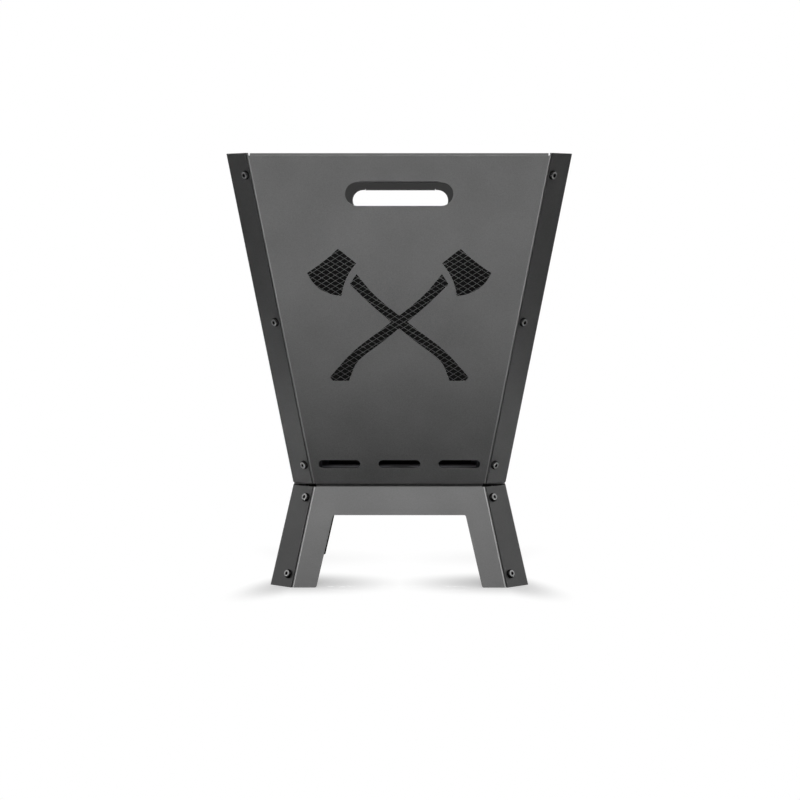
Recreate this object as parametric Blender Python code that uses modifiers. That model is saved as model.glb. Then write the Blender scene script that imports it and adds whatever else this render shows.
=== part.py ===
"""Square fire basket of folded sheet steel, bolted at its corners, on a splayed leg base.

Metres, +Z up. The origin is on the floor under the middle, and the front faces -Y.
"""
import math

import bmesh
import bpy
from mathutils import Matrix, Vector

OBJECT_NAME = "fire_basket"

# Sheet stock, folds and fits
SHEET = 0.0012
GAP = 0.0003
BEND_RADIUS = 0.0024
BEND_STEPS = 3
RELIEF = 0.0006
CUT_DEPTH = 0.008

# Overall form: heights, half widths over the outer faces, and corner cuts along each side
BASE_TOP = 0.1173
RIM_TOP = 0.503
FEET_HALF = 0.1517
BASE_TOP_HALF = 0.1253
BASKET_FOOT_HALF = 0.1255
RIM_HALF = 0.1978
FEET_CUT = 0.0252
BASE_TOP_CUT = 0.0237
BASKET_CUT = 0.0232
BASKET_FOOT = BASE_TOP + GAP
BASKET_HEIGHT = RIM_TOP - BASKET_FOOT

# Flanges
CORNER_TURN = math.radians(45)
HIDDEN_WING = 0.0185
RIM_LIP = 0.010
WAIST_FLANGE_DEPTH = 0.0245
WAIST_FLANGE_EDGE = BASE_TOP_HALF - WAIST_FLANGE_DEPTH
FOLD_END_INSET = 0.0013
FLOOR_TRIM = 0.004
LEG_WING_DROP = 0.0018

# Handle slot with a folded lip on its top edge
HANDLE_DROP = 0.0462
HANDLE_HEIGHT = RIM_TOP - HANDLE_DROP
HANDLE_HALF_LENGTH = 0.0618
HANDLE_RADIUS = 0.0137
HANDLE_END_STEPS = 12
LIP_HALF_LENGTH = 0.045
LIP_DROP = 0.0009
LIP_DEPTH = 0.008

# Vent slots
VENT_RISE = 0.0250
VENT_HEIGHT = BASKET_FOOT + VENT_RISE
VENT_HALF_LENGTH = 0.0246
VENT_RADIUS = 0.0049
VENT_PITCH = 0.0702
VENT_END_STEPS = 6

# Crossed axes opening, measured from the point where the hafts cross
FIGURE_LEVEL = 0.498
FIGURE_HEIGHT = BASKET_FOOT + FIGURE_LEVEL * BASKET_HEIGHT
HEAD_CENTRE = (-0.0703, 0.0650)
HEAD_TILT = math.radians(-39)
POLL_HALF = 0.0136
POLL_REACH = 0.0168
TOE_CORNER = (-0.0234, -0.0275)
HEEL_CORNER = (0.0242, -0.0240)
HEAD_TOP_HOLLOW = 0.0013
BEARD_HOLLOW = 0.0031
EDGE_BULGE = 0.0072
HAFT_BACK = ((-0.049, 0.057), (-0.026, 0.030), (0.017, -0.0055), (0.053, -0.034), (0.0805, -0.065))
HAFT_BELLY = ((0.057, -0.066), (0.047, -0.045), (0.017, -0.0210), (-0.026, 0.0150), (-0.057, 0.045))
KNOB_END = ((0.0765, -0.0695), (0.0585, -0.0695))

# Leg opening under the apron
APRON_HEIGHT = 0.0343
OPENING_TOP_HALF = 0.0777
OPENING_FOOT_HALF = 0.0964
OPENING_FILLET = 0.0015
FOOT_CORNER_RADIUS = 0.0025

# Corner screws: height, and distance from the wide flange's free edge
BASKET_SCREW_INSET = 0.0062
TOP_SCREW_DROP = 0.0245
BOTTOM_SCREW_RISE = 0.0241
TOP_SCREW_HEIGHT = RIM_TOP - TOP_SCREW_DROP
BOTTOM_SCREW_HEIGHT = BASKET_FOOT + BOTTOM_SCREW_RISE
MIDDLE_SCREW_HEIGHT = (TOP_SCREW_HEIGHT + BOTTOM_SCREW_HEIGHT) / 2
BASKET_SCREWS = {
    "top": (TOP_SCREW_HEIGHT, BASKET_SCREW_INSET),
    "middle": (MIDDLE_SCREW_HEIGHT, BASKET_SCREW_INSET),
    "bottom": (BOTTOM_SCREW_HEIGHT, BASKET_SCREW_INSET),
}
UPPER_LEG_SCREW_DROP = 0.0145
UPPER_LEG_SCREW_INSET = 0.0070
LOWER_LEG_SCREW_HEIGHT = 0.0148
LOWER_LEG_SCREW_INSET = 0.0090
LEG_SCREWS = {
    "upper": (BASE_TOP - UPPER_LEG_SCREW_DROP, UPPER_LEG_SCREW_INSET),
    "lower": (LOWER_LEG_SCREW_HEIGHT, LOWER_LEG_SCREW_INSET),
}

# Fastener sizes, M6, and waist studs
SHANK_RADIUS = 0.0029
HOLE_RADIUS = 0.0033
SCREW_LENGTH = 0.010
HEAD_RADIUS = 0.00525
HEAD_HEIGHT = 0.0033
HEAD_EDGE = 0.0008
CROWN_STEPS = 4
NUT_CIRCUMRADIUS = 0.00577
NUT_HEIGHT = 0.005
ROUND_STEPS = 12
STUD_LENGTH = 0.012
STUD_INSET = 0.0125
STUD_OFFSET = BASE_TOP_HALF - STUD_INSET

# Spark mesh behind the crossed axes
MESH_COLUMNS = 10
MESH_ROWS = 12
MESH_PITCH = (0.0230, 0.0144)
MESH_STRAND = 0.0022
MESH_THICKNESS = 0.0015

# Ash tray and fire grate
TRAY_CLEARANCE = 0.0035
TRAY_HALF = BASKET_FOOT_HALF - TRAY_CLEARANCE
TRAY_CUT = 0.027
TRAY_RIM = 0.012
TRAY_BEND_STEPS = 2
ROUND_PROFILE = 0.5
GRATE_CLEARANCE = 0.008
GRATE_CUT = 0.036
GRATE_RISE = 0.0342
GRATE_TOP = BASKET_FOOT + GRATE_RISE
GRATE_SHEET = 0.002
GRATE_SLOT_ROWS = 7
GRATE_SLOT_RADIUS = 0.006
GRATE_SLOT_END_STEPS = 4
GRATE_SIDE_BAND = 0.022
GRATE_END_BAND = 0.040
GRATE_BRIDGE = 0.020
GRATE_LEG_WIDTH = 0.034
GRATE_LEG_INSET = 0.0035
GRATE_LEG_SINK = 0.001

# Finishes: colour, roughness, metallic
HEAT_PAINT = ((0.085, 0.086, 0.088, 1.0), 0.55, 0.3)
MESH_STEEL = ((0.20, 0.20, 0.20, 1.0), 0.45, 0.8)
SCREW_STEEL = ((0.35, 0.35, 0.355, 1.0), 0.3, 1.0)
RAW_STEEL = ((0.16, 0.16, 0.165, 1.0), 0.5, 0.9)


class Taper:
    """A square with cut corners, whose size changes evenly with height."""

    def __init__(self, heights, halves, cuts):
        self.heights = heights
        self.halves = halves
        self.cuts = cuts
        rise = heights[1] - heights[0]
        self.lean = math.atan((halves[1] - halves[0]) / rise)
        diagonal_growth = (2 * (halves[1] - halves[0]) - (cuts[1] - cuts[0])) / math.sqrt(2)
        self.corner_lean = math.atan(diagonal_growth / rise)

    def at(self, pair, z):
        share = (z - self.heights[0]) / (self.heights[1] - self.heights[0])
        return pair[0] + share * (pair[1] - pair[0])

    def half(self, z):
        return self.at(self.halves, z)

    def cut(self, z):
        return self.at(self.cuts, z)

    def upward(self):
        return Vector((0, -math.sin(self.lean), math.cos(self.lean)))

    def inward(self):
        return Vector((0, math.cos(self.lean), math.sin(self.lean)))

    def face_frame(self, z):
        """Frame on the front face: x sideways, y up the sheet, z outward."""
        place = Matrix.Translation((0, -self.half(z), z))
        return place @ Matrix.Rotation(math.pi / 2 + self.lean, 4, "X")

    def screw_frame(self, z, inset, wide, side):
        """Frame on a corner's outer face, z outward, seen from a panel that faces -Y."""
        step = inset / math.sqrt(2)
        near = self.half(z) - step
        far = self.half(z) - self.cut(z) + step
        place = Vector((side * near, -far, z)) if wide else Vector((side * far, -near, z))
        level = Vector((side, -1, 0)).normalized()
        outward = level * math.cos(self.corner_lean) - Vector((0, 0, math.sin(self.corner_lean)))
        along = Vector((0, 0, 1)).cross(outward).normalized()
        frame = Matrix((along, outward.cross(along), outward)).transposed().to_4x4()
        return Matrix.Translation(place) @ frame


BASKET = Taper((BASKET_FOOT, RIM_TOP), (BASKET_FOOT_HALF, RIM_HALF), (BASKET_CUT, BASKET_CUT))
BASE = Taper((0.0, BASE_TOP), (FEET_HALF, BASE_TOP_HALF), (FEET_CUT, BASE_TOP_CUT))
GRATE_HALF = BASKET.half(GRATE_TOP) - GRATE_CLEARANCE


def clear_scene():
    for obj in list(bpy.data.objects):
        bpy.data.objects.remove(obj, do_unlink=True)


def new_collection(name):
    collection = bpy.data.collections.new(name)
    bpy.context.scene.collection.children.link(collection)
    return collection


def paint(obj, finish):
    colour, roughness, metallic = finish
    material = bpy.data.materials.new(obj.name + "_finish")
    material.use_nodes = True
    shader = material.node_tree.nodes["Principled BSDF"]
    shader.inputs["Base Color"].default_value = colour
    shader.inputs["Roughness"].default_value = roughness
    shader.inputs["Metallic"].default_value = metallic
    material.diffuse_color = colour
    obj.data.materials.clear()
    obj.data.materials.append(material)


def add_object(name, mesh, collection):
    obj = bpy.data.objects.new(name, mesh)
    collection.objects.link(obj)
    return obj


def mesh_from(bm, name):
    mesh = bpy.data.meshes.new(name)
    bm.to_mesh(mesh)
    bm.free()
    return mesh


def arc(centre, radius, start, end, steps):
    """Points round an arc, both ends included; angles in degrees."""
    angles = (math.radians(start + (end - start) * i / steps) for i in range(steps + 1))
    return [(centre[0] + radius * math.cos(a), centre[1] + radius * math.sin(a)) for a in angles]


def bowed(start, end, bow, steps):
    """Points on a shallow curve from start up to, not including, end; bow goes to its left."""
    start = Vector(start)
    end = Vector(end)
    left = (end - start).orthogonal().normalized()
    spans = [i / steps for i in range(steps)]
    return [tuple(start.lerp(end, t) + left * bow * 4 * t * (1 - t)) for t in spans]


def smooth(points, steps):
    """Points on a Catmull-Rom curve through the given ones."""
    padded = [points[0]] + list(points) + [points[-1]]
    result = []
    for a, b, c, d in zip(padded, padded[1:], padded[2:], padded[3:]):
        a, b, c, d = Vector(a), Vector(b), Vector(c), Vector(d)
        for i in range(steps):
            t = i / steps
            bend = (2 * a - 5 * b + 4 * c - d) * t * t + (3 * b - a - 3 * c + d) * t ** 3
            result.append(tuple((2 * b + (c - a) * t + bend) / 2))
    return result + [tuple(points[-1])]


def stadium(half_length, radius, steps, centre=(0, 0)):
    straight = half_length - radius
    right = arc((centre[0] + straight, centre[1]), radius, -90, 90, steps)
    left = arc((centre[0] - straight, centre[1]), radius, 90, 270, steps)
    return right + left


def plate(outlines, thickness, name):
    """Flat plate, its middle plane at z 0; the outlines after the first are openings."""
    curve = bpy.data.curves.new(name + "_outline", "CURVE")
    curve.dimensions = "2D"
    curve.fill_mode = "BOTH"
    curve.extrude = thickness / 2
    for outline in outlines:
        spline = curve.splines.new("POLY")
        spline.points.add(len(outline) - 1)
        for point, (x, y) in zip(spline.points, outline):
            point.co = (x, y, 0, 1)
        spline.use_cyclic_u = True
    guide = bpy.data.objects.new(name + "_guide", curve)
    bpy.context.scene.collection.objects.link(guide)
    bpy.context.view_layer.update()
    mesh = bpy.data.meshes.new_from_object(guide.evaluated_get(bpy.context.evaluated_depsgraph_get()))
    bpy.data.objects.remove(guide, do_unlink=True)
    bm = bmesh.new()
    bm.from_mesh(mesh)
    bpy.data.meshes.remove(mesh)
    bmesh.ops.remove_doubles(bm, verts=bm.verts, dist=1e-6)
    bmesh.ops.recalc_face_normals(bm, faces=bm.faces)
    return mesh_from(bm, name)


def cylinder(radius, depth, name, steps=ROUND_STEPS):
    bm = bmesh.new()
    bmesh.ops.create_cone(bm, cap_ends=True, segments=steps, radius1=radius, radius2=radius, depth=depth)
    return mesh_from(bm, name)


def cut(target, mesh, frame, operation="DIFFERENCE"):
    """Cut the target with a mesh that stands in the given frame of the target."""
    number = len(target.children) + 1
    cutter = add_object(f"{target.name}_cutter_{number}", mesh, bpy.data.collections["cutters"])
    cutter.parent = target
    cutter.matrix_local = frame
    cutter.hide_render = True
    cutter.display_type = "WIRE"
    modifier = target.modifiers.new(cutter.name, "BOOLEAN")
    modifier.operation = operation
    modifier.solver = "EXACT"
    modifier.object = cutter


def skin_row(taper, z, wide, breaks):
    """Points of a panel's outer skin at one height, from its left free edge to its right one."""
    face = taper.half(z)
    if wide:
        corner = face - taper.cut(z)
        wing = taper.cut(z) * math.sqrt(2)
    else:
        behind = (SHEET + GAP) / math.cos(taper.corner_lean)
        corner = face - taper.cut(z) - behind * math.sqrt(2)
        wing = HIDDEN_WING
    tangent = corner - BEND_RADIUS * math.tan(CORNER_TURN / 2)
    right = [(x, face) for x in breaks]
    for step in range(BEND_STEPS + 1):
        turn = CORNER_TURN * step / BEND_STEPS
        out = face - BEND_RADIUS * (1 - math.cos(turn))
        right.append((tangent + BEND_RADIUS * math.sin(turn), out))
    right.append((corner + wing * math.cos(CORNER_TURN), face - wing * math.sin(CORNER_TURN)))
    plan = [(-x, out) for x, out in reversed(right)] + right
    return [Vector((x, -out, z)) for x, out in plan]


def fold_rows(start, along, inward, turn, reach):
    """Rows of a fold that turns inward from the start points and runs on straight."""
    rows = []
    for step in range(1, BEND_STEPS + 1):
        angle = turn * step / BEND_STEPS
        shift = along * math.sin(angle) + inward * (1 - math.cos(angle))
        rows.append([point + shift * BEND_RADIUS for point in start])
    onward = along * math.cos(turn) + inward * math.sin(turn)
    rows.append([point + onward * reach for point in rows[-1]])
    return rows


def add_rows(bm, grid, keep=lambda row, column: True):
    """Fill the faces between the rows of a grid of vertices."""
    for row, (lower, upper) in enumerate(zip(grid, grid[1:])):
        for column in range(len(lower) - 1):
            if keep(row, column):
                corners = (lower[column], lower[column + 1], upper[column + 1], upper[column])
                bm.faces.new(corners)


def setback(turn):
    return BEND_RADIUS * math.tan(turn / 2)


def handle_levels():
    """Heights of the slot's middle and of the line where its lip starts to fold."""
    slope = math.cos(BASKET.lean)
    lip_line = HANDLE_HEIGHT + (HANDLE_RADIUS - LIP_DROP) * slope
    return HANDLE_HEIGHT, lip_line + BEND_RADIUS * slope


def folded_panel(name, taper, wide, rises, folds, handle, collection):
    """One folded sheet that faces -Y.

    folds holds the level and the inner edge of each flange that turns inward, under "low" or
    "high". rises holds the levels where the corner flanges end, or None where a fold starts.
    """
    levels = []
    ends = {}
    starts = {}
    for key, (z, edge) in folds.items():
        along = taper.upward() if key == "high" else -taper.upward()
        turn = math.acos(along.y)
        start = round(z - along.z * setback(turn), 7)
        starts[key] = (start, along, turn, edge)
        levels.append(start)
        corner = taper.half(start) - taper.cut(start)
        if not wide:
            corner -= (SHEET + GAP) * math.sqrt(2)
        ends[key] = min(corner - FOLD_END_INSET - setback(CORNER_TURN), edge - GAP)
    low = starts["low"][0] if "low" in starts else rises[0]
    high = starts["high"][0] if "high" in starts else rises[1]
    wing_low = low if rises[0] is None else rises[0]
    wing_high = high if rises[1] is None else rises[1]
    levels += [low, high, wing_low, wing_high]
    if handle:
        levels += handle_levels()
    levels = sorted(set(levels))
    low_end = ends.get("low", ends.get("high"))
    high_end = ends.get("high", ends.get("low"))
    lip_breaks = [LIP_HALF_LENGTH, LIP_HALF_LENGTH + RELIEF] if handle else []
    bm = bmesh.new()
    grid = []
    for z in levels:
        share = (z - low) / (high - low)
        fold_end = low_end + share * (high_end - low_end) if folds else 0
        row = skin_row(taper, z, wide, lip_breaks + [fold_end])
        grid.append([bm.verts.new(point) for point in row])
    wing_columns = BEND_STEPS + 1
    flat_columns = range(wing_columns, len(grid[0]) - 1 - wing_columns)

    def keep(row, column):
        middle = (levels[row] + levels[row + 1]) / 2
        if column in flat_columns:
            in_slot = False
            if handle:
                slot_low, slot_high = handle_levels()
                centre = (grid[row][column].co.x + grid[row][column + 1].co.x) / 2
                in_slot = slot_low < middle < slot_high and abs(centre) < LIP_HALF_LENGTH + RELIEF
            return low < middle < high and not in_slot
        return wing_low < middle < wing_high

    add_rows(bm, grid, keep)
    for key, (start, along, turn, edge) in starts.items():
        line = grid[levels.index(start)][wing_columns + 1:len(grid[0]) - wing_columns - 1]
        points = [vert.co.copy() for vert in line]
        turned = points[0] + (along * math.sin(turn) + taper.inward() * (1 - math.cos(turn))) * BEND_RADIUS
        rows = fold_rows(points, along, taper.inward(), turn, -edge - turned.y)
        add_fold(bm, line, rows, key == "low")
    if handle:
        line = grid[levels.index(handle_levels()[1])][wing_columns + 3:len(grid[0]) - wing_columns - 3]
        points = [vert.co.copy() for vert in line]
        rows = fold_rows(points, -taper.upward(), taper.inward(), math.pi / 2, LIP_DEPTH - BEND_RADIUS)
        add_fold(bm, line, rows, True)
    loose = [vert for vert in bm.verts if not vert.link_faces]
    bmesh.ops.delete(bm, geom=loose, context="VERTS")
    panel = add_object(name, mesh_from(bm, name), collection)
    solidify = panel.modifiers.new("sheet", "SOLIDIFY")
    solidify.thickness = SHEET
    solidify.offset = -1
    solidify.use_even_offset = True
    return panel


def add_fold(bm, line, rows, downward):
    grid = [line] + [[bm.verts.new(point) for point in row] for row in rows]
    if downward:
        grid.reverse()
    add_rows(bm, grid)


def cut_screw_holes(panel, taper, wide, screws):
    for z, inset in screws.values():
        for side in (-1, 1):
            mesh = cylinder(HOLE_RADIUS, CUT_DEPTH, "screw_hole")
            cut(panel, mesh, taper.screw_frame(z, inset, wide, side))


def handle_outline():
    """Slot with round ends, kept clear of the lip along the middle of its top edge."""
    straight = HANDLE_HALF_LENGTH - HANDLE_RADIUS
    side = LIP_HALF_LENGTH + RELIEF / 2
    below_lip = HANDLE_RADIUS - 2 * BEND_RADIUS
    right = arc((straight, 0), HANDLE_RADIUS, -90, 90, HANDLE_END_STEPS)
    left = arc((-straight, 0), HANDLE_RADIUS, 90, 270, HANDLE_END_STEPS)
    notch = [(side, HANDLE_RADIUS), (side, below_lip), (-side, below_lip), (-side, HANDLE_RADIUS)]
    return right + notch + left


def axe_head_outline():
    poll_back = (POLL_HALF, POLL_REACH)
    poll_front = (-POLL_HALF, POLL_REACH)
    local = bowed(poll_back, HEEL_CORNER, -BEARD_HOLLOW, 6)
    local += bowed(HEEL_CORNER, TOE_CORNER, EDGE_BULGE, 10)
    local += bowed(TOE_CORNER, poll_front, -HEAD_TOP_HOLLOW, 5)
    local += [poll_front]
    turn = Matrix.Rotation(HEAD_TILT, 2)
    return [tuple(turn @ Vector(point) + Vector(HEAD_CENTRE)) for point in local]


def axe_haft_outline():
    return smooth(HAFT_BACK, 4) + list(KNOB_END) + smooth(HAFT_BELLY, 4)


def cut_crossed_axes(panel):
    frame = BASKET.face_frame(FIGURE_HEIGHT)
    for outline in (axe_head_outline(), axe_haft_outline()):
        mirrored = [(-x, y) for x, y in outline]
        cut(panel, plate([outline], CUT_DEPTH, "axe_cutter"), frame)
        cut(panel, plate([mirrored], CUT_DEPTH, "axe_cutter"), frame)


def basket_panel(name, turn, wide, handle, collection):
    folds = {"low": (BASKET_FOOT, WAIST_FLANGE_EDGE), "high": (RIM_TOP, RIM_HALF - RIM_LIP)}
    panel = folded_panel(name, BASKET, wide, (None, RIM_TOP), folds, handle, collection)
    for place in (-1, 0, 1):
        frame = BASKET.face_frame(VENT_HEIGHT) @ Matrix.Translation((place * VENT_PITCH, 0, 0))
        vent = stadium(VENT_HALF_LENGTH, VENT_RADIUS, VENT_END_STEPS)
        cut(panel, plate([vent], CUT_DEPTH, "vent_cutter"), frame)
    if handle:
        cut(panel, plate([handle_outline()], CUT_DEPTH, "handle_cutter"), BASKET.face_frame(HANDLE_HEIGHT))
    cut_screw_holes(panel, BASKET, wide, BASKET_SCREWS)
    panel.rotation_euler.z = turn
    paint(panel, HEAT_PAINT)
    return panel


def opening_outline():
    """Opening between a frame's legs, in the face frame at the floor."""
    slope = math.cos(BASE.lean)
    top = (BASE_TOP - APRON_HEIGHT) / slope
    flare = math.degrees(math.atan((OPENING_FOOT_HALF - OPENING_TOP_HALF) / top))
    fillet_x = OPENING_TOP_HALF - OPENING_FILLET
    fillet = arc((fillet_x, top - OPENING_FILLET), OPENING_FILLET, flare, 90, 4)
    fillet[0] = (OPENING_TOP_HALF + OPENING_FILLET * math.tan(math.radians(flare)), top - OPENING_FILLET)
    rounding = (OPENING_FOOT_HALF + FOOT_CORNER_RADIUS, FOOT_CORNER_RADIUS)
    foot = arc(rounding, FOOT_CORNER_RADIUS, 270, 180 + flare, 4)
    right = [(foot[0][0], -2 * FLOOR_TRIM)] + foot + fillet
    left = [(-x, y) for x, y in reversed(right)]
    return right + left


def leg_frame(name, turn, wide, collection):
    folds = {"high": (BASE_TOP, WAIST_FLANGE_EDGE)}
    rises = (-FLOOR_TRIM / 2, BASE_TOP - LEG_WING_DROP)
    frame = folded_panel(name, BASE, wide, rises, folds, False, collection)
    cut(frame, plate([opening_outline()], 3 * CUT_DEPTH, "opening_cutter"), BASE.face_frame(0))
    floor = bmesh.new()
    bmesh.ops.create_cube(floor, size=1)
    bmesh.ops.scale(floor, vec=(3 * FEET_HALF, 3 * FEET_HALF, FLOOR_TRIM), verts=floor.verts)
    cut(frame, mesh_from(floor, "floor_cutter"), Matrix.Translation((0, 0, -FLOOR_TRIM / 2)))
    cut_screw_holes(frame, BASE, wide, LEG_SCREWS)
    stud_hole = Matrix.Translation((0, -STUD_OFFSET, BASE_TOP))
    cut(frame, cylinder(HOLE_RADIUS, CUT_DEPTH, "stud_hole"), stud_hole)
    frame.rotation_euler.z = turn
    paint(frame, HEAT_PAINT)
    return frame


def screw_mesh():
    """Button head screw, its seat at z 0 and its shank down -Z."""
    rise = HEAD_HEIGHT - HEAD_EDGE
    crown_radius = (HEAD_RADIUS ** 2 + rise ** 2) / (2 * rise)
    crown_end = math.degrees(math.asin(1 - rise / crown_radius))
    crown = arc((0, HEAD_HEIGHT - crown_radius), crown_radius, 90, crown_end, CROWN_STEPS)
    profile = [(0.0, HEAD_HEIGHT)] + crown[1:]
    profile += [(HEAD_RADIUS, 0.0), (SHANK_RADIUS, 0.0)]
    profile += [(SHANK_RADIUS, -SCREW_LENGTH), (0.0, -SCREW_LENGTH)]
    bm = bmesh.new()
    verts = [bm.verts.new((x, 0, z)) for x, z in profile]
    for pair in zip(verts, verts[1:]):
        bm.edges.new(pair)
    guide = add_object("screw_profile", mesh_from(bm, "screw_profile"), bpy.context.scene.collection)
    turned = guide.modifiers.new("turned", "SCREW")
    turned.steps = ROUND_STEPS
    turned.render_steps = ROUND_STEPS
    turned.use_merge_vertices = True
    turned.merge_threshold = 0.00001
    bpy.context.view_layer.update()
    mesh = bpy.data.meshes.new_from_object(guide.evaluated_get(bpy.context.evaluated_depsgraph_get()))
    bpy.data.objects.remove(guide, do_unlink=True)
    mesh.name = "screw"
    mesh.shade_smooth()
    mesh.set_sharp_from_angle(angle=math.radians(35))
    return mesh


def nut_mesh():
    hexagon = arc((0, 0), NUT_CIRCUMRADIUS, 0, 300, 5)
    bore = arc((0, 0), HOLE_RADIUS, 0, 330, 11)
    return plate([hexagon, bore], NUT_HEIGHT, "nut")


def add_fasteners(prefix, taper, screws, collection):
    """A screw and its nut at each height of each corner, counted round from the front right."""
    seat = Matrix.Translation((0, 0, GAP))
    nut_depth = 2 * SHEET + 2 * GAP + NUT_HEIGHT / 2
    behind = Matrix.Translation((0, 0, -nut_depth))
    corners = ("front_right", "rear_right", "rear_left", "front_left")
    for number, corner in enumerate(corners):
        turn = Matrix.Rotation(number * math.pi / 2, 4, "Z")
        wide = number % 2 == 1
        for level, (z, inset) in screws.items():
            place = turn @ taper.screw_frame(z, inset, wide, 1)
            for kind, mesh, shift in (("screw", screw_mesh(), seat), ("nut", nut_mesh(), behind)):
                piece = add_object(f"{prefix}_{kind}_{corner}_{level}", mesh, collection)
                piece.matrix_world = place @ shift
                paint(piece, SCREW_STEEL)


def add_waist_fixings(collection):
    """A weld stud under each floor flange of the basket, with its nut under the base's flange."""
    stud_centre = BASKET_FOOT - GAP - STUD_LENGTH / 2
    nut_centre = BASE_TOP - SHEET - GAP - NUT_HEIGHT / 2
    for number, side in enumerate(("front", "right", "rear", "left")):
        turn = Matrix.Rotation(number * math.pi / 2, 4, "Z")
        stud = add_object(f"waist_stud_{side}", cylinder(SHANK_RADIUS, STUD_LENGTH, "stud"), collection)
        stud.matrix_world = turn @ Matrix.Translation((0, -STUD_OFFSET, stud_centre))
        nut = add_object(f"waist_nut_{side}", nut_mesh(), collection)
        nut.matrix_world = turn @ Matrix.Translation((0, -STUD_OFFSET, nut_centre))
        paint(stud, SCREW_STEEL)
        paint(nut, SCREW_STEEL)


def spark_mesh(collection):
    """Expanded metal: diamonds in offset rows, spot-welded to the inside of the front panel."""
    width, height = MESH_PITCH
    bm = bmesh.new()
    for row in range(2 * MESH_ROWS - 1):
        offset = row % 2
        for column in range(MESH_COLUMNS - offset):
            x = (column + offset / 2 - (MESH_COLUMNS - 1) / 2) * width
            y = (row / 2 - (MESH_ROWS - 1) / 2) * height
            around = ((width / 2, 0), (0, height / 2), (-width / 2, 0), (0, -height / 2))
            bm.faces.new([bm.verts.new((x + dx, y + dy, 0)) for dx, dy in around])
    bmesh.ops.remove_doubles(bm, verts=bm.verts, dist=1e-5)
    openings = list(bm.faces)
    bmesh.ops.inset_individual(bm, faces=openings, thickness=MESH_STRAND / 2, use_even_offset=True)
    bmesh.ops.delete(bm, geom=openings, context="FACES")
    sheet = add_object("spark_mesh", mesh_from(bm, "spark_mesh"), collection)
    solidify = sheet.modifiers.new("strands", "SOLIDIFY")
    solidify.thickness = MESH_THICKNESS
    solidify.offset = -1
    sheet.matrix_world = BASKET.face_frame(FIGURE_HEIGHT) @ Matrix.Translation((0, 0, -SHEET - GAP))
    paint(sheet, MESH_STEEL)


def octagon(half, corner_cut):
    """Square of the given half width, its corners cut off by a length along each side."""
    quarter = [(half, corner_cut - half), (half, half - corner_cut)]
    points = []
    for number in range(4):
        turn = Matrix.Rotation(number * math.pi / 2, 2)
        points += [tuple(turn @ Vector(point)) for point in quarter]
    return points


def ash_tray(collection):
    """Open pan that rests on the basket's floor flanges."""
    outline = octagon(TRAY_HALF, TRAY_CUT)
    bm = bmesh.new()
    floor = bm.faces.new([bm.verts.new((x, y, 0)) for x, y in outline])
    floor.normal_update()
    rim = bmesh.ops.extrude_edge_only(bm, edges=list(floor.edges))["geom"]
    rim_verts = [part for part in rim if isinstance(part, bmesh.types.BMVert)]
    bmesh.ops.translate(bm, vec=(0, 0, TRAY_RIM), verts=rim_verts)
    floor_edges = list(floor.edges)
    bmesh.ops.recalc_face_normals(bm, faces=bm.faces)
    bmesh.ops.bevel(bm, geom=floor_edges, offset=BEND_RADIUS, segments=TRAY_BEND_STEPS,
                    profile=ROUND_PROFILE, affect="EDGES")
    if next(face for face in bm.faces if abs(face.normal.z) > 0.99).normal.z > 0:
        bmesh.ops.reverse_faces(bm, faces=bm.faces)
    tray = add_object("ash_tray", mesh_from(bm, "ash_tray"), collection)
    tray.location.z = BASKET_FOOT + SHEET + GAP
    solidify = tray.modifiers.new("sheet", "SOLIDIFY")
    solidify.thickness = SHEET
    solidify.offset = -1
    solidify.use_even_offset = True
    paint(tray, RAW_STEEL)
    return tray


def fire_grate(collection):
    """Slotted plate on four welded legs that stand in the ash tray."""
    outlines = [octagon(GRATE_HALF, GRATE_CUT)]
    slot_half_length = (GRATE_HALF - GRATE_SIDE_BAND - GRATE_BRIDGE / 2) / 2
    slot_offset = GRATE_BRIDGE / 2 + slot_half_length
    pitch = 2 * (GRATE_HALF - GRATE_END_BAND) / (GRATE_SLOT_ROWS - 1)
    for row in range(GRATE_SLOT_ROWS):
        y = (row - (GRATE_SLOT_ROWS - 1) / 2) * pitch
        for side in (-1, 1):
            slot = stadium(slot_half_length, GRATE_SLOT_RADIUS, GRATE_SLOT_END_STEPS, (side * slot_offset, y))
            outlines.append(slot)
    grate = add_object("fire_grate", plate(outlines, GRATE_SHEET, "fire_grate"), collection)
    grate.location.z = GRATE_TOP - GRATE_SHEET / 2
    tray_floor = BASKET_FOOT + 2 * SHEET + 2 * GAP
    leg_top = GRATE_TOP - GRATE_LEG_SINK
    length = leg_top - tray_floor
    for number in range(4):
        leg = bmesh.new()
        bmesh.ops.create_cube(leg, size=1)
        bmesh.ops.scale(leg, vec=(GRATE_SHEET, GRATE_LEG_WIDTH, length), verts=leg.verts)
        distance = (2 * GRATE_HALF - GRATE_CUT) / math.sqrt(2) - GRATE_LEG_INSET
        turn = Matrix.Rotation(math.pi / 4 + number * math.pi / 2, 4, "Z")
        centre = (distance, 0, leg_top - length / 2 - grate.location.z)
        cut(grate, mesh_from(leg, "grate_leg"), turn @ Matrix.Translation(centre), "UNION")
    paint(grate, RAW_STEEL)
    return grate


def build():
    clear_scene()
    parts = new_collection(OBJECT_NAME)
    new_collection("cutters")
    quarter = math.pi / 2
    front = basket_panel("front_panel", 0, False, True, parts)
    cut_crossed_axes(front)
    basket_panel("right_panel", quarter, True, False, parts)
    basket_panel("rear_panel", 2 * quarter, False, True, parts)
    basket_panel("left_panel", -quarter, True, False, parts)
    leg_frame("leg_frame_front", 0, False, parts)
    leg_frame("leg_frame_right", quarter, True, parts)
    leg_frame("leg_frame_rear", 2 * quarter, False, parts)
    leg_frame("leg_frame_left", -quarter, True, parts)
    add_fasteners("basket", BASKET, BASKET_SCREWS, parts)
    add_fasteners("leg", BASE, LEG_SCREWS, parts)
    add_waist_fixings(parts)
    spark_mesh(parts)
    ash_tray(parts)
    fire_grate(parts)


build()
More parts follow.
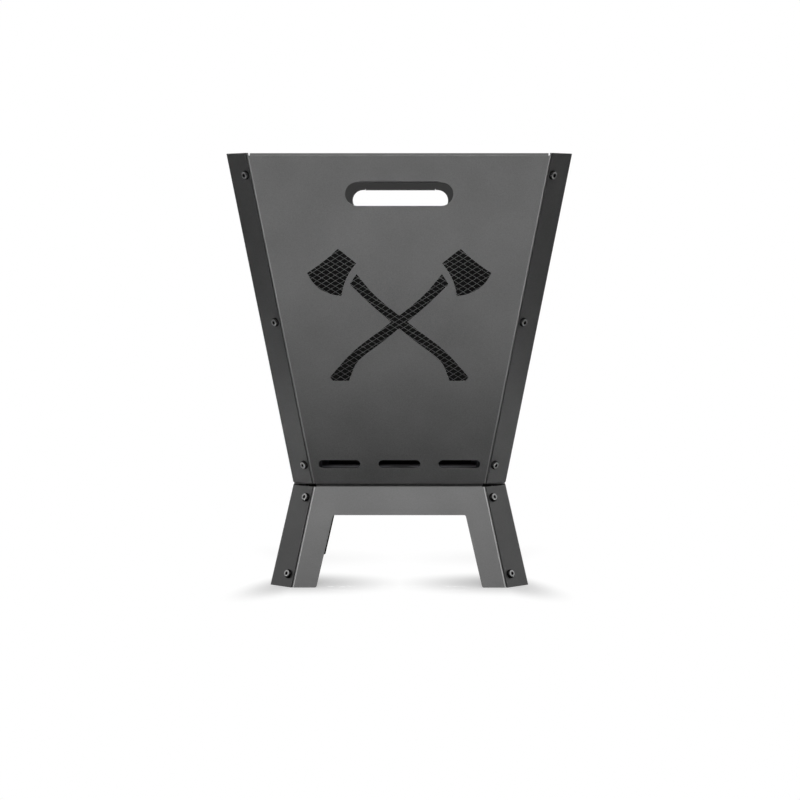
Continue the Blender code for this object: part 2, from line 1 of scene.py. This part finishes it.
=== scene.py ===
"""Studio picture of the square fire basket with its crossed-axes panel."""
import math

import bmesh
import bpy
from mathutils import Matrix, Vector


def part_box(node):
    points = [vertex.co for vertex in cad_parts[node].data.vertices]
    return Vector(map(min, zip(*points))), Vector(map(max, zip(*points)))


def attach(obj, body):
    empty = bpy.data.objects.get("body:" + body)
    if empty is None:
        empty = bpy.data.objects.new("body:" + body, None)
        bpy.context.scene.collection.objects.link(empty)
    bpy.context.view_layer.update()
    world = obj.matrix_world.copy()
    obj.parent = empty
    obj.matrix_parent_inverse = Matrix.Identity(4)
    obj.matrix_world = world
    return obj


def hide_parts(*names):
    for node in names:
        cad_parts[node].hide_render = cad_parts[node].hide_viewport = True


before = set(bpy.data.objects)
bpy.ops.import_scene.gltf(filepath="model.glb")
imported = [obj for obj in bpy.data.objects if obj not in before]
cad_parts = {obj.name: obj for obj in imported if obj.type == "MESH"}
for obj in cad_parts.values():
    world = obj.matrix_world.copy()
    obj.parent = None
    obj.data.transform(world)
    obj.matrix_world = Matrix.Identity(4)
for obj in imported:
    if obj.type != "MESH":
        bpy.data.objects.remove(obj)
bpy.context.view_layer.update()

# Camera, worked out from the photograph's verticals and horizon
FOCAL_LENGTH = 107.9
CAMERA_PLACE = (0.012, -2.93, 0.397)
CAMERA_DOWN = math.radians(3.6585)
CAMERA_LEFT = math.radians(0.23)
SENSOR_WIDTH = 36
FLOOR_SIZE = 30
FLOOR_DROP = 0.0002

# Screw, M6 button head with a hexagon socket; the crown's faces point up by more than its slope,
# and the head's rim below them is black as painted shade
HEAD_RADIUS = 0.00525
HEAD_HEIGHT = 0.0033
HEAD_RIM = 0.0007
CROWN_SLOPE = 0.84
SOCKET_RADIUS = 0.0023
SOCKET_DEPTH = 0.0019
SHANK_RADIUS = 0.0029
SHANK_LENGTH = 0.010
THREAD_PITCH = 0.001
THREAD_SWELL = 1.12
TIP_TAPER = 0.8

# Nut, M6
NUT_RADIUS = 0.00577
NUT_HEIGHT = 0.005
NUT_CHAMFER = 0.0007
BORE_RADIUS = 0.0033

# Expanded metal behind the opening: long and short way of one diamond, strand, thickness
DIAMOND = (0.0105, 0.0065)
STRAND = 0.0004
STRAND_THICKNESS = 0.0006
CAD_MESH_THICKNESS = 0.0015

# Contact shadow on the floor: the point under each foot, how far the shadow reaches round it, how
# far it is drawn out between the feet, where it ends outside them and how far forward it lies there,
# the share of it that is kept at the rear feet, and the white added to it
FOOT_POINT = (0.128, 0.118)
SHADOW_CORE = 0.015
SHADOW_REACH = 0.115
SHADOW_DRAWN_OUT = 0.1
SHADOW_END = 0.228
SHADOW_FORWARD = 0.15
REAR_SHADOW = 0.12
REAR_BLEND = 0.03
FLOOR_LIFT = 0.44

# Light: the room's own, and where the lamps over the floor hang
ROOM_LIGHT = 0.22
LAMP_HEIGHT = 1.5
FLOOR_LAMP_PLACE = 1.35
SIDE_LAMP_HEIGHT = 1.4
SIDE_LAMP_PLACE = (0.53, -0.20)

# Inner faces: how far their normal looks at the axis, and the heights between which their painted shade
# fades out
INNER_FACING = -0.02
INNER_SHADE_LOW = 0.40
INNER_SHADE_HIGH = 0.45

# Upright folds of the sheets, which carry a painted highlight: the ratio of a normal's two level parts,
# how far it strays, and the most that the normal rises or falls
FOLD_RATIO = 0.45
FOLD_STRAY = 0.38
FOLD_RISE = 0.35


def linear(hex_colour):
    """The linear colour of an sRGB hex value."""
    channels = [int(hex_colour[i:i + 2], 16) / 255 for i in (1, 3, 5)]
    values = [c / 12.92 if c <= 0.04045 else ((c + 0.055) / 1.055) ** 2.4 for c in channels]
    return (*values, 1.0)


def add_node(tree, kind, settings=None, inputs=None, links=None):
    """Add a node with its settings, its input values and the sockets that feed it."""
    node = tree.nodes.new(kind)
    for name, value in (settings or {}).items():
        setattr(node, name, value)
    for name, value in (inputs or {}).items():
        node.inputs[name].default_value = value
    for name, socket in (links or {}).items():
        tree.links.new(socket, node.inputs[name])
    return node


def start_material(name):
    material = bpy.data.materials.new(name)
    material.use_nodes = True
    material.node_tree.nodes.clear()
    return material, material.node_tree


def finish_material(tree, shader):
    add_node(tree, "ShaderNodeOutputMaterial", links={"Surface": shader.outputs["BSDF"]})


def two_tones(tree, factor, low, high, dark, light):
    """Colour ramp between two hex tones, over a part of the factor's range."""
    ramp = add_node(tree, "ShaderNodeValToRGB", links={"Fac": factor})
    ramp.color_ramp.elements[0].position = low
    ramp.color_ramp.elements[0].color = linear(dark)
    ramp.color_ramp.elements[1].position = high
    ramp.color_ramp.elements[1].color = linear(light)
    return ramp


def stove_paint(name, fold_highlight):
    """Heat-resistant silicone paint, sprayed: metallic grey, fine sandy grain, painted fold highlights,
    painted shade inside.
    """
    material, tree = start_material(name)
    place = add_node(tree, "ShaderNodeTexCoord").outputs["Object"]
    # Grain of about 0.3 mm, drawn at 1.2 mm so that it shows in the picture
    grain = add_node(tree, "ShaderNodeTexNoise", inputs={"Scale": 850, "Detail": 3, "Roughness": 0.7},
                     links={"Vector": place})
    # Flow of the sprayed coat, in clouds of about 60 mm
    cloud = add_node(tree, "ShaderNodeTexNoise", inputs={"Scale": 16, "Detail": 2},
                     links={"Vector": place})
    blend = add_node(tree, "ShaderNodeMix", {"data_type": "FLOAT"}, {"Factor": 0.3},
                     {"A": grain.outputs["Fac"], "B": cloud.outputs["Fac"]})
    colour = two_tones(tree, blend.outputs["Result"], 0.35, 0.65, "#454545", "#535353")
    # Painted highlight on the upright folds, which face neither square on nor at 45 degrees
    flat = add_node(tree, "ShaderNodeNewGeometry")
    axes = add_node(tree, "ShaderNodeSeparateXYZ", links={0: flat.outputs["True Normal"]})
    sides = [add_node(tree, "ShaderNodeMath", {"operation": "ABSOLUTE"}, links={0: axes.outputs[axis]})
             for axis in ("X", "Y", "Z")]
    least = add_node(tree, "ShaderNodeMath", {"operation": "MINIMUM"},
                     links={0: sides[0].outputs["Value"], 1: sides[1].outputs["Value"]})
    most = add_node(tree, "ShaderNodeMath", {"operation": "MAXIMUM"},
                    links={0: sides[0].outputs["Value"], 1: sides[1].outputs["Value"]})
    ratio = add_node(tree, "ShaderNodeMath", {"operation": "DIVIDE"},
                     links={0: least.outputs["Value"], 1: most.outputs["Value"]})
    folded = add_node(tree, "ShaderNodeMath", {"operation": "COMPARE"}, {1: FOLD_RATIO, 2: FOLD_STRAY},
                      {0: ratio.outputs["Value"]})
    upright = add_node(tree, "ShaderNodeMath", {"operation": "LESS_THAN"}, {1: FOLD_RISE},
                       {0: sides[2].outputs["Value"]})
    fold = add_node(tree, "ShaderNodeMath", {"operation": "MULTIPLY"},
                    links={0: folded.outputs["Value"], 1: upright.outputs["Value"]})
    painted_fold_highlight = add_node(tree, "ShaderNodeMath", {"operation": "MULTIPLY"}, {1: fold_highlight},
                      {0: fold.outputs["Value"]})
    bright = add_node(tree, "ShaderNodeMix", {"data_type": "RGBA"}, {"B": linear("#b4b4b4")},
                      {"Factor": painted_fold_highlight.outputs["Value"], "A": colour.outputs["Color"]})
    # The inner faces look at the basket's axis: a dull coat, with painted shade that is darkest low down
    # and fades out towards the rim
    radial = add_node(tree, "ShaderNodeVectorMath", {"operation": "MULTIPLY"}, {1: (1, 1, 0)},
                      {0: place})
    facing = add_node(tree, "ShaderNodeVectorMath", {"operation": "DOT_PRODUCT"},
                      links={0: radial.outputs["Vector"], 1: flat.outputs["True Normal"]})
    inner = add_node(tree, "ShaderNodeMath", {"operation": "LESS_THAN"}, {1: INNER_FACING},
                     {0: facing.outputs["Value"]})
    height = add_node(tree, "ShaderNodeSeparateXYZ", links={0: place})
    inner_shade_line = add_node(tree, "ShaderNodeMapRange",
                         inputs={"From Min": INNER_SHADE_LOW, "From Max": INNER_SHADE_HIGH},
                         links={"Value": height.outputs["Z"]})
    inner_shade = two_tones(tree, inner_shade_line.outputs["Result"], 0.0, 1.0, "#080808", "#4e4e4e")
    inner_shaded = add_node(tree, "ShaderNodeMix", {"data_type": "RGBA"},
                     links={"Factor": inner.outputs["Value"], "A": bright.outputs["Result"],
                            "B": inner_shade.outputs["Color"]})
    sheen = add_node(tree, "ShaderNodeMapRange",
                     inputs={"From Min": 0.3, "From Max": 0.7, "To Min": 0.31, "To Max": 0.43},
                     links={"Value": grain.outputs["Fac"]})
    dulled = add_node(tree, "ShaderNodeMix", {"data_type": "FLOAT"}, {"B": 0.75},
                      {"Factor": inner.outputs["Value"], "A": sheen.outputs["Result"]})
    bump = add_node(tree, "ShaderNodeBump", inputs={"Strength": 0.25, "Distance": 0.0002},
                    links={"Height": grain.outputs["Fac"]})
    shader = add_node(tree, "ShaderNodeBsdfPrincipled", inputs={"Metallic": 0.7},
                      links={"Base Color": inner_shaded.outputs["Result"], "Roughness": dulled.outputs["Result"],
                             "Normal": bump.outputs["Normal"]})
    finish_material(tree, shader)
    return material


def expanded_steel():
    """Bare mild steel mesh, pressed: grey strands, mottled between two tones."""
    material, tree = start_material("expanded_mild_steel")
    place = add_node(tree, "ShaderNodeTexCoord").outputs["Object"]
    # Mottle of about 4 mm
    mottle = add_node(tree, "ShaderNodeTexNoise", inputs={"Scale": 260, "Detail": 2},
                      links={"Vector": place})
    colour = two_tones(tree, mottle.outputs["Fac"], 0.35, 0.7, "#363636", "#585858")
    shader = add_node(tree, "ShaderNodeBsdfPrincipled", inputs={"Metallic": 0.7, "Roughness": 0.42},
                      links={"Base Color": colour.outputs["Color"]})
    finish_material(tree, shader)
    return material


def fastener_steel(name, dark, light):
    """Screws and nuts: polished steel or black oxide, by the two tones, with a slight haze."""
    material, tree = start_material(name)
    place = add_node(tree, "ShaderNodeTexCoord").outputs["Object"]
    # Haze of about 1.4 mm
    haze = add_node(tree, "ShaderNodeTexNoise", inputs={"Scale": 700, "Detail": 2},
                    links={"Vector": place})
    colour = two_tones(tree, haze.outputs["Fac"], 0.35, 0.7, dark, light)
    sheen = add_node(tree, "ShaderNodeMapRange", inputs={"To Min": 0.14, "To Max": 0.24},
                     links={"Value": haze.outputs["Fac"]})
    shader = add_node(tree, "ShaderNodeBsdfPrincipled", inputs={"Metallic": 1.0},
                      links={"Base Color": colour.outputs["Color"], "Roughness": sheen.outputs["Result"]})
    finish_material(tree, shader)
    return material


def mill_steel(name, dark, light):
    """Hot-rolled sheet, unpainted: scale in clouds between two tones, with rolling streaks."""
    material, tree = start_material(name)
    place = add_node(tree, "ShaderNodeTexCoord").outputs["Object"]
    # Rolling streaks of about 80 by 6 mm, and scale in clouds of about 45 mm
    stretched = add_node(tree, "ShaderNodeMapping", inputs={"Scale": (12, 160, 160)},
                         links={"Vector": place})
    streak = add_node(tree, "ShaderNodeTexNoise", inputs={"Scale": 1, "Detail": 3},
                      links={"Vector": stretched.outputs["Vector"]})
    cloud = add_node(tree, "ShaderNodeTexNoise", inputs={"Scale": 22, "Detail": 4},
                     links={"Vector": place})
    blend = add_node(tree, "ShaderNodeMix", {"data_type": "FLOAT"}, {"Factor": 0.55},
                     {"A": streak.outputs["Fac"], "B": cloud.outputs["Fac"]})
    colour = two_tones(tree, blend.outputs["Result"], 0.35, 0.65, dark, light)
    sheen = add_node(tree, "ShaderNodeMapRange", inputs={"To Min": 0.5, "To Max": 0.7},
                     links={"Value": cloud.outputs["Fac"]})
    shader = add_node(tree, "ShaderNodeBsdfPrincipled", inputs={"Metallic": 0.8},
                      links={"Base Color": colour.outputs["Color"], "Roughness": sheen.outputs["Result"]})
    finish_material(tree, shader)
    return material


def wear(obj, material):
    obj.data.materials.clear()
    obj.data.materials.append(material)


def deselect():
    if bpy.context.object and bpy.context.object.mode != "OBJECT":
        bpy.ops.object.mode_set(mode="OBJECT")
    bpy.ops.object.select_all(action="DESELECT")


def pick_faces(obj, wanted):
    """Select, in edit mode, the faces whose centre and normal the test accepts."""
    bpy.ops.mesh.select_all(action="DESELECT")
    bpy.ops.mesh.select_mode(type="FACE")
    bm = bmesh.from_edit_mesh(obj.data)
    for face in bm.faces:
        face.select_set(wanted(face.calc_center_median(), face.normal))
    bmesh.update_edit_mesh(obj.data)


def pick_edges(obj, wanted):
    """Select, in edit mode, the edges whose two ends the test accepts."""
    bpy.ops.mesh.select_all(action="DESELECT")
    bpy.ops.mesh.select_mode(type="EDGE")
    bm = bmesh.from_edit_mesh(obj.data)
    for edge in bm.edges:
        edge.select_set(wanted(edge.verts[0].co, edge.verts[1].co))
    bmesh.update_edit_mesh(obj.data)


def apply_cut(obj, cutter):
    """Cut obj with cutter, which is then thrown away."""
    bpy.context.view_layer.objects.active = obj
    modifier = obj.modifiers.new("cut", "BOOLEAN")
    modifier.operation = "DIFFERENCE"
    modifier.object = cutter
    bpy.ops.object.modifier_apply(modifier=modifier.name)
    bpy.data.objects.remove(cutter, do_unlink=True)


def model_screw(black_oxide_and_rim_shade, polished):
    """Button head screw at the origin: seat at z 0, shank down -Z, socket in the polished crown, black
    rim as painted shade.
    """
    deselect()
    bpy.ops.mesh.primitive_cylinder_add(vertices=32, radius=HEAD_RADIUS, depth=HEAD_HEIGHT,
                                        location=(0, 0, HEAD_HEIGHT / 2))
    screw = bpy.context.object
    bpy.ops.object.mode_set(mode="EDIT")
    pick_edges(screw, lambda a, b: min(a.z, b.z) > 0)
    bpy.ops.mesh.bevel(offset=HEAD_HEIGHT - HEAD_RIM, segments=6, affect="EDGES", profile=0.55)
    pick_faces(screw, lambda centre, normal: normal.z < -0.9)
    bpy.ops.mesh.inset(thickness=HEAD_RADIUS - SHANK_RADIUS)
    turns = round(SHANK_LENGTH / THREAD_PITCH) - 1
    for step in range(2 * turns):
        bpy.ops.mesh.extrude_region_move(TRANSFORM_OT_translate={"value": (0, 0, -THREAD_PITCH / 2)})
        grow = THREAD_SWELL if step % 2 else 1 / THREAD_SWELL
        bpy.ops.transform.resize(value=(grow, grow, 1), center_override=(0, 0, 0))
    bpy.ops.mesh.extrude_region_move(TRANSFORM_OT_translate={"value": (0, 0, -THREAD_PITCH)})
    bpy.ops.transform.resize(value=(TIP_TAPER, TIP_TAPER, 1), center_override=(0, 0, 0))
    bpy.ops.object.mode_set(mode="OBJECT")
    deselect()
    bpy.ops.mesh.primitive_cylinder_add(vertices=6, radius=SOCKET_RADIUS, depth=2 * SOCKET_DEPTH,
                                        location=(0, 0, HEAD_HEIGHT))
    apply_cut(screw, bpy.context.object)
    deselect()
    screw.select_set(True)
    bpy.context.view_layer.objects.active = screw
    bpy.ops.object.transform_apply(location=True, rotation=True, scale=True)
    bpy.ops.object.shade_smooth_by_angle(angle=math.radians(35))
    screw.data.materials.append(black_oxide_and_rim_shade)
    screw.data.materials.append(polished)
    # The crown's outward faces take the polished steel; the head's steeper rim and the shank take the
    # black steel, which stands as painted shade round the head
    for face in screw.data.polygons:
        face.material_index = int(face.normal.z > CROWN_SLOPE and face.center.z > HEAD_HEIGHT / 2)
    return screw


def model_nut():
    """Hexagon nut, its middle at the origin, with chamfered corners and an open bore."""
    deselect()
    bpy.ops.mesh.primitive_cylinder_add(vertices=6, radius=NUT_RADIUS, depth=NUT_HEIGHT)
    nut = bpy.context.object
    deselect()
    bpy.ops.mesh.primitive_cylinder_add(vertices=24, radius=BORE_RADIUS, depth=2 * NUT_HEIGHT)
    apply_cut(nut, bpy.context.object)
    deselect()
    nut.select_set(True)
    bpy.context.view_layer.objects.active = nut
    bpy.ops.object.mode_set(mode="EDIT")
    past_bore = (NUT_RADIUS + BORE_RADIUS) / 2
    pick_edges(nut, lambda a, b: min(a.xy.length, b.xy.length) > past_bore
               and abs(a.z + b.z) > NUT_HEIGHT / 2)
    bpy.ops.mesh.bevel(offset=NUT_CHAMFER, segments=2, affect="EDGES")
    bpy.ops.object.mode_set(mode="OBJECT")
    bpy.ops.object.shade_smooth_by_angle(angle=math.radians(30))
    return nut


def mesh_middle(node):
    """Middle of a round node's corner points, which lies on its axis."""
    corners = {tuple(round(c, 6) for c in vert.co) for vert in bpy.data.objects[node].data.vertices}
    return sum((Vector(corner) for corner in corners), Vector()) / len(corners)


def copy_piece(model, name, node, place):
    """Copy the model with its own mesh, stand it at a place and let it replace a node."""
    piece = bpy.data.objects.new(name, model.data.copy())
    bpy.context.scene.collection.objects.link(piece)
    piece.data.transform(place)
    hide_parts(node)
    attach(piece, "basket")


def add_fasteners():
    """Give every screw its socket head, every nut its chamfers and every stud its black oxide."""
    # Black oxide steel for nuts and studs, which also stands as painted shade on the screw heads' rims
    black_oxide_and_rim_shade = fastener_steel("black_oxide_steel_and_painted_rim_shade", "#161616", "#2a2a2a")
    screw = model_screw(black_oxide_and_rim_shade, fastener_steel("polished_steel", "#848484", "#a2a2a2"))
    nut = model_nut()
    wear(nut, black_oxide_and_rim_shade)
    for node in sorted(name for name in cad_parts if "_screw_" in name):
        partner = node.replace("_screw_", "_nut_")
        nut_middle = mesh_middle(partner)
        axis = (mesh_middle(node) - nut_middle).normalized()
        turn = axis.to_track_quat("Z", "Y").to_matrix().to_4x4()
        reach = max((vert.co - nut_middle).dot(axis) for vert in bpy.data.objects[node].data.vertices)
        seat = nut_middle + axis * (reach - HEAD_HEIGHT)
        copy_piece(screw, node + "_fine", node, Matrix.Translation(seat) @ turn)
        copy_piece(nut, partner + "_fine", partner, Matrix.Translation(nut_middle) @ turn)
    for node in sorted(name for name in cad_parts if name.startswith("waist_nut_")):
        low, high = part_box(node)
        middle = (Vector(low) + Vector(high)) / 2
        quarter = Matrix.Rotation(math.pi / 2 if high[1] - low[1] > high[0] - low[0] else 0, 4, "Z")
        copy_piece(nut, node + "_fine", node, Matrix.Translation(middle) @ quarter)
    for model in (screw, nut):
        bpy.data.objects.remove(model, do_unlink=True)
    for node in (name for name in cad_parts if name.startswith("waist_stud_")):
        wear(bpy.data.objects[node], black_oxide_and_rim_shade)


def add_expanded_mesh(material):
    """Fine diamond mesh in the place of the coarse one behind the crossed axes."""
    low, high = (Vector(corner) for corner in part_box("spark_mesh"))
    size = high - low
    lean = math.atan((size.y - CAD_MESH_THICKNESS) / size.z)
    width = size.x
    height = (size.z - CAD_MESH_THICKNESS * math.sin(lean)) / math.cos(lean)
    cells = math.ceil(width / DIAMOND[0] + height / DIAMOND[1])
    deselect()
    bpy.ops.mesh.primitive_grid_add(x_subdivisions=cells, y_subdivisions=cells, size=cells / math.sqrt(2))
    sheet = bpy.context.object
    sheet.name = "expanded_mesh"
    bpy.ops.object.mode_set(mode="EDIT")
    bpy.ops.mesh.select_all(action="SELECT")
    bpy.ops.transform.rotate(value=math.radians(45), orient_axis="Z", center_override=(0, 0, 0))
    bpy.ops.transform.resize(value=(DIAMOND[0], DIAMOND[1], 1), center_override=(0, 0, 0))
    for normal, edge in (((1, 0, 0), width), ((-1, 0, 0), width),
                         ((0, 1, 0), height), ((0, -1, 0), height)):
        bpy.ops.mesh.select_all(action="SELECT")
        bpy.ops.mesh.bisect(plane_co=Vector(normal) * edge / 2, plane_no=normal, clear_outer=True)
    bpy.ops.mesh.select_all(action="SELECT")
    bpy.ops.mesh.inset(thickness=STRAND / 2, use_individual=True)
    bpy.ops.mesh.delete(type="FACE")
    bpy.ops.object.mode_set(mode="OBJECT")
    sheet.rotation_euler.x = math.pi / 2 + lean
    sheet.location = (low + high) / 2
    bpy.ops.object.transform_apply(location=True, rotation=True, scale=True)
    solid = sheet.modifiers.new("strands", "SOLIDIFY")
    solid.thickness = STRAND_THICKNESS
    solid.offset = 0
    bpy.ops.object.modifier_apply(modifier=solid.name)
    wear(sheet, material)
    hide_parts("spark_mesh")
    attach(sheet, "basket")


def dress_sheets():
    """Put the finishes on the sheets that keep their CAD form."""
    # The number given to stove_paint is how strong the painted highlight on the upright folds is
    plain = stove_paint("sprayed_stove_paint", 0.0)
    finishes = {
        "front_panel": stove_paint("sprayed_stove_paint_basket_fold_highlight", 0.25),
        "leg_frame_front": stove_paint("sprayed_stove_paint_leg_fold_highlight", 0.6),
        # The ash tray's steel is much darker than the grate's: painted shade, where it shows through the
        # vents
        "ash_tray": mill_steel("hot_rolled_steel_painted_shade", "#141416", "#202123"),
        "fire_grate": mill_steel("hot_rolled_steel", "#303135", "#494a4e"),
    }
    finishes["rear_panel"] = finishes["front_panel"]
    finishes["leg_frame_rear"] = finishes["leg_frame_front"]
    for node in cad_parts:
        if node in finishes or node.endswith("_panel") or node.startswith("leg_frame_"):
            wear(bpy.data.objects[node], finishes.get(node, plain))


def add_camera():
    data = bpy.data.cameras.new("camera")
    data.lens = FOCAL_LENGTH
    data.sensor_width = SENSOR_WIDTH
    data.clip_end = 2 * FLOOR_SIZE
    camera = bpy.data.objects.new("camera", data)
    camera.location = CAMERA_PLACE
    camera.rotation_euler = (math.pi / 2 - CAMERA_DOWN, 0, CAMERA_LEFT)
    bpy.context.scene.collection.objects.link(camera)
    bpy.context.scene.camera = camera


def add_floor():
    """Pale studio floor that keeps the contact shadow round the feet and is white elsewhere."""
    bpy.ops.mesh.primitive_plane_add(size=FLOOR_SIZE, location=(0, 0, -FLOOR_DROP))
    floor = bpy.context.object
    floor.name = "studio_floor"
    material, tree = start_material("white_floor")
    place = add_node(tree, "ShaderNodeTexCoord").outputs["Object"]
    split = add_node(tree, "ShaderNodeSeparateXYZ", links={0: place})
    across = add_node(tree, "ShaderNodeMath", {"operation": "ABSOLUTE"}, links={0: split.outputs["X"]})
    along = add_node(tree, "ShaderNodeMath", {"operation": "ABSOLUTE"}, links={0: split.outputs["Y"]})
    # Between the feet the shadow is drawn out; outside them it is short, and lies further forward
    inside = add_node(tree, "ShaderNodeMapRange",
                      inputs={"From Max": FOOT_POINT[0], "To Min": -SHADOW_DRAWN_OUT, "To Max": 0.0},
                      links={"Value": across.outputs["Value"]})
    outside = add_node(tree, "ShaderNodeMapRange",
                       inputs={"From Min": FOOT_POINT[0], "From Max": SHADOW_END,
                               "To Max": SHADOW_FORWARD},
                       links={"Value": across.outputs["Value"]})
    beside = add_node(tree, "ShaderNodeMath", {"operation": "ADD"},
                      links={0: inside.outputs["Result"], 1: outside.outputs["Result"]})
    forward = add_node(tree, "ShaderNodeMath", {"operation": "SUBTRACT"},
                       links={0: along.outputs["Value"], 1: outside.outputs["Result"]})
    beyond = add_node(tree, "ShaderNodeMath", {"operation": "SUBTRACT"}, {1: FOOT_POINT[1]},
                      {0: forward.outputs["Value"]})
    offset = add_node(tree, "ShaderNodeCombineXYZ",
                      links={0: beside.outputs["Value"], 1: beyond.outputs["Value"]})
    distance = add_node(tree, "ShaderNodeVectorMath", {"operation": "LENGTH"},
                        links={0: offset.outputs["Vector"]})
    shade = add_node(tree, "ShaderNodeMapRange", {"interpolation_type": "SMOOTHSTEP"},
                     {"From Min": SHADOW_REACH, "From Max": SHADOW_CORE},
                     {"Value": distance.outputs["Value"]})
    share = add_node(tree, "ShaderNodeMapRange",
                     inputs={"From Min": REAR_BLEND, "From Max": -REAR_BLEND, "To Min": REAR_SHADOW},
                     links={"Value": split.outputs["Y"]})
    kept = add_node(tree, "ShaderNodeMath", {"operation": "MULTIPLY"},
                    links={0: shade.outputs["Result"], 1: share.outputs["Result"]})
    clear = add_node(tree, "ShaderNodeMath", {"operation": "SUBTRACT"}, {0: 1.0},
                     {1: kept.outputs["Value"]})
    path = add_node(tree, "ShaderNodeLightPath")
    whiten = add_node(tree, "ShaderNodeMath", {"operation": "MULTIPLY"},
                      links={0: clear.outputs["Value"], 1: path.outputs["Is Camera Ray"]})
    lift = add_node(tree, "ShaderNodeMath", {"operation": "MULTIPLY"}, {1: FLOOR_LIFT},
                    {0: path.outputs["Is Camera Ray"]})
    lit = add_node(tree, "ShaderNodeBsdfDiffuse", inputs={"Color": linear("#e4e4e4")})
    glow = add_node(tree, "ShaderNodeEmission", inputs={"Color": (1, 1, 1, 1)},
                    links={"Strength": lift.outputs["Value"]})
    near = add_node(tree, "ShaderNodeAddShader",
                    links={0: lit.outputs["BSDF"], 1: glow.outputs["Emission"]})
    white = add_node(tree, "ShaderNodeEmission", inputs={"Color": (1, 1, 1, 1), "Strength": 1.0})
    mix = add_node(tree, "ShaderNodeMixShader",
                   links={0: whiten.outputs["Value"], 1: near.outputs["Shader"],
                          2: white.outputs["Emission"]})
    add_node(tree, "ShaderNodeOutputMaterial", links={"Surface": mix.outputs["Shader"]})
    wear(floor, material)


def add_world():
    """White behind the basket and in its metal, and a plain grey studio for its light."""
    world = bpy.data.worlds.new("studio")
    bpy.context.scene.world = world
    world.use_nodes = True
    tree = world.node_tree
    tree.nodes.clear()
    path = add_node(tree, "ShaderNodeLightPath")
    room = add_node(tree, "ShaderNodeBackground",
                    inputs={"Color": (1, 1, 1, 1), "Strength": ROOM_LIGHT})
    white = add_node(tree, "ShaderNodeBackground", inputs={"Color": (1, 1, 1, 1), "Strength": 1.0})
    seen = path.outputs["Is Camera Ray"]
    for ray in ("Is Glossy Ray", "Is Transmission Ray"):
        seen = add_node(tree, "ShaderNodeMath", {"operation": "MAXIMUM"},
                        links={0: seen, 1: path.outputs[ray]}).outputs["Value"]
    mix = add_node(tree, "ShaderNodeMixShader",
                   links={0: seen, 1: room.outputs["Background"], 2: white.outputs["Background"]})
    add_node(tree, "ShaderNodeOutputWorld", links={"Surface": mix.outputs["Shader"]})


def add_softbox(name, place, aim, size, watts, spread=180):
    """Rectangular lamp at a place, turned to its aim, with its beam's full angle in degrees."""
    data = bpy.data.lights.new(name, "AREA")
    data.shape = "RECTANGLE"
    data.size = size[0]
    data.size_y = size[1]
    data.energy = watts
    data.spread = math.radians(spread)
    lamp = bpy.data.objects.new(name, data)
    lamp.location = place
    lamp.rotation_euler = (Vector(aim) - Vector(place)).to_track_quat("-Z", "Y").to_euler()
    bpy.context.scene.collection.objects.link(lamp)


def add_lights():
    """One lamp in front, one down into the basket, and four on the floor that the sheets mirror."""
    add_softbox("front_softbox", (0, -3.0, 1.35), (0, 0, 0.15), (1.4, 0.8), 19.5)
    for name, side, watts in (("floor_softbox", -1, 27), ("rear_floor_softbox", 1, 24)):
        y = side * FLOOR_LAMP_PLACE
        add_softbox(name, (0, y, LAMP_HEIGHT), (0, y, 0), (2.2, 0.9), watts, 58)
    add_softbox("top_softbox", (0, 0, LAMP_HEIGHT), (0, 0, 0), (0.14, 0.14), 0.9, 14)
    for name, side, watts in (("left_floor_softbox", -1, 0.92), ("right_floor_softbox", 1, 0.76)):
        x, y = side * SIDE_LAMP_PLACE[0], SIDE_LAMP_PLACE[1]
        add_softbox(name, (x, y, SIDE_LAMP_HEIGHT), (x, y, 0), (0.2, 0.3), watts, 24)


add_camera()
add_world()
add_floor()
add_lights()
bpy.context.scene.view_settings.view_transform = "Standard"
dress_sheets()
add_fasteners()
add_expanded_mesh(expanded_steel())
